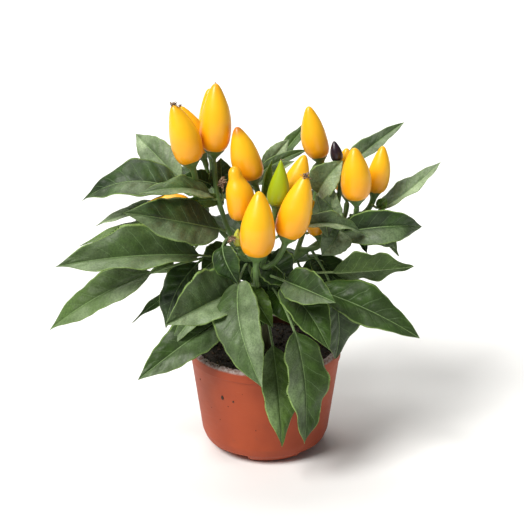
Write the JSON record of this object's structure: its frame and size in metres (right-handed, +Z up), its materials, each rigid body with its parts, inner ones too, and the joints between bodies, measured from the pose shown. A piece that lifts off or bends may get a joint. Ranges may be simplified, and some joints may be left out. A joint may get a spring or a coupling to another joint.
{
  "type": "potted chilli pepper plant",
  "caption": "Bushy ornamental chilli pepper plant with upright yellow pods and pointed dark green leaves, in a round tapered terracotta-coloured plastic pot.",
  "frame": {"origin": "middle of the pot's underside, on the surface it stands on", "axes": "+Z up, -Y towards the side that the plant shows best, +X to that side's right"},
  "size_m": [0.268, 0.1851, 0.261],
  "materials": {
    "pot": "thin moulded terracotta-coloured plastic, satin, dusty",
    "potting_soil": "dark moist peat with bark crumbs",
    "stem": "smooth green living stem",
    "leaf": "dark green living leaf with a soft waxy sheen and paler veins",
    "pod_ripe": "smooth shiny yellow-orange skin",
    "pod_green": "smooth shiny green skin",
    "pod_young": "smooth yellow-green skin",
    "pod_dark": "smooth purple-black skin"
  },
  "bodies": {
    "root": {"pot": "pot", "potting_soil": "potting_soil", "stem": "stem", "pod_left_tall": "pod_ripe", "pod_left_rear": "pod_ripe", "pod_far_left": "pod_ripe", "pod_far_left_rear": "pod_ripe", "pod_left_lying": "pod_ripe", "pod_centre_rear": "pod_ripe", "pod_centre_left": "pod_ripe", "pod_front": "pod_ripe", "pod_front_right": "pod_ripe", "pod_green": "pod_green", "pod_centre_right": "pod_ripe", "pod_right_rear": "pod_ripe", "pod_dark": "pod_dark", "pod_right": "pod_ripe", "pod_right_inner": "pod_ripe", "pod_far_right": "pod_ripe", "pod_hidden_right": "pod_ripe", "pod_young": "pod_young", "leaf_left_mid": "leaf", "leaf_left_long": "leaf", "leaf_left_upper": "leaf", "leaf_front_left": "leaf", "leaf_front": "leaf", "leaf_front_low": "leaf", "leaf_front_low_right": "leaf", "leaf_front_right": "leaf", "leaf_right_long": "leaf", "leaf_left_low": "leaf", "leaf_front_left_low": "leaf", "leaf_left_high": "leaf", "leaf_front_right_low": "leaf", "leaf_right_mid": "leaf", "leaf_right_upper": "leaf", "leaf_right_high": "leaf", "leaf_right_back": "leaf", "leaf_left_back": "leaf", "leaf_left_rear": "leaf", "leaf_left_inner": "leaf", "leaf_left_small": "leaf", "leaf_left_hanging": "leaf", "leaf_centre_right": "leaf", "leaf_centre_level": "leaf", "leaf_right_hanging": "leaf", "leaf_right_small": "leaf", "leaf_right_inner": "leaf", "leaf_centre_hanging": "leaf", "leaf_crown_right": "leaf", "leaf_crown_back": "leaf", "leaf_crown_upright": "leaf", "leaf_crown_left": "leaf", "leaf_back_low_left": "leaf", "leaf_back_low_right": "leaf", "leaf_back_left": "leaf", "leaf_back_right": "leaf", "leaf_back_high_left": "leaf", "leaf_back_far_right": "leaf", "leaf_back_far_left": "leaf"}
  },
  "joints": []
}
